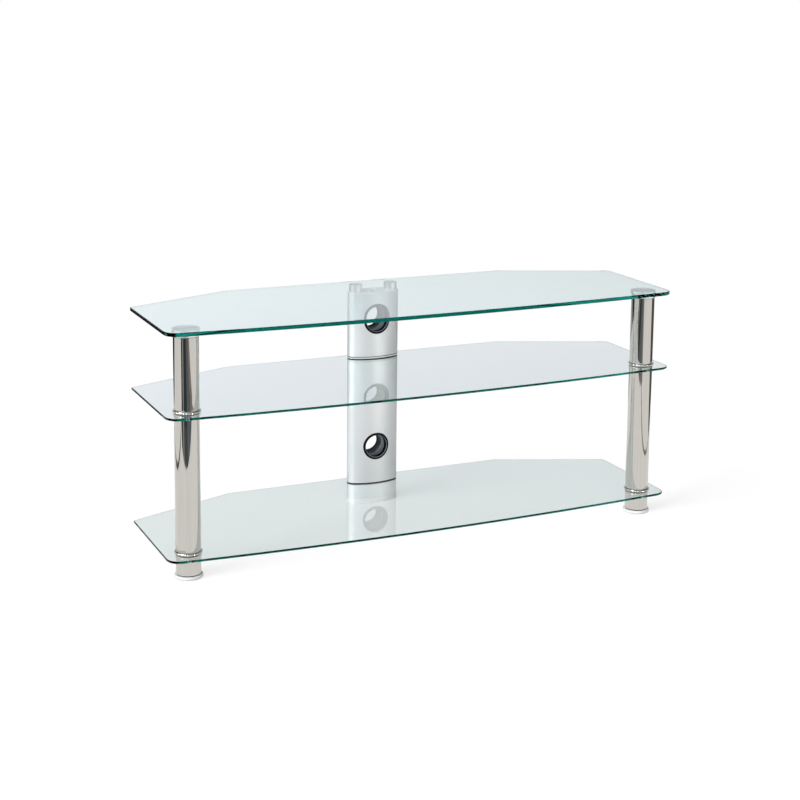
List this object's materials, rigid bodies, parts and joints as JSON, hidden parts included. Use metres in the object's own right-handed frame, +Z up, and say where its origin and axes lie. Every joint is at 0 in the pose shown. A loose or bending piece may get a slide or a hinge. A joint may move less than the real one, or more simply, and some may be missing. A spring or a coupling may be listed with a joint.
{
  "type": "television stand",
  "caption": "Low television stand: stacked clear glass shelves on chrome tube legs at the front and a silver oval cable column at the back.",
  "frame": {"origin": "on the floor, under the middle of the shelves' bounding box", "axes": "+X to the stand's right as seen from the front, +Y to the back, +Z up"},
  "size_m": [1.15, 0.393, 0.5095],
  "materials": {
    "clear_glass": "polished, green at the edges",
    "chrome": "polished plate",
    "silver_paint": "satin silver lacquer",
    "black_plastic": "fine moulded texture",
    "black_rubber": "matt",
    "pale_plastic": "smooth moulded",
    "zinc_steel": "zinc plated"
  },
  "bodies": {
    "stand": {"top_glass": "clear_glass", "middle_glass": "clear_glass", "bottom_glass": "clear_glass", "column_upper": "silver_paint", "column_lower": "silver_paint", "column_base": "silver_paint", "column_cap": "silver_paint", "column_collar": "chrome", "column_gaskets": "black_rubber", "column_foot": "pale_plastic", "upper_grommet": "black_plastic", "upper_grommet_ring": "black_plastic", "lower_grommet": "black_plastic", "lower_grommet_ring": "black_plastic", "rod_washers": "zinc_steel", "rod_nuts": "zinc_steel", "left_top_disc": "chrome", "left_upper_tube": "chrome", "left_lower_tube": "chrome", "left_base_tube": "chrome", "left_middle_ring": "chrome", "left_bottom_ring": "chrome", "left_upper_plugs": "black_plastic", "left_lower_plugs": "black_plastic", "left_base_insert": "black_plastic", "left_studs": "zinc_steel", "left_washers": "black_rubber", "left_column_pad": "chrome", "left_column_rod": "zinc_steel", "right_top_disc": "chrome", "right_upper_tube": "chrome", "right_lower_tube": "chrome", "right_base_tube": "chrome", "right_middle_ring": "chrome", "right_bottom_ring": "chrome", "right_upper_plugs": "black_plastic", "right_lower_plugs": "black_plastic", "right_base_insert": "black_plastic", "right_studs": "zinc_steel", "right_washers": "black_rubber", "right_column_pad": "chrome", "right_column_rod": "zinc_steel"},
    "left_leveller": {"left_foot": "pale_plastic", "left_foot_stud": "zinc_steel"},
    "right_leveller": {"right_foot": "pale_plastic", "right_foot_stud": "zinc_steel"}
  },
  "joints": [
    {"name": "left_foot_screw", "type": "slide", "parent": "stand", "child": "left_leveller", "axis": [0, 0, -1], "range_m": [0, 0.008]},
    {"name": "right_foot_screw", "type": "slide", "parent": "stand", "child": "right_leveller", "axis": [0, 0, -1], "range_m": [0, 0.008]}
  ]
}
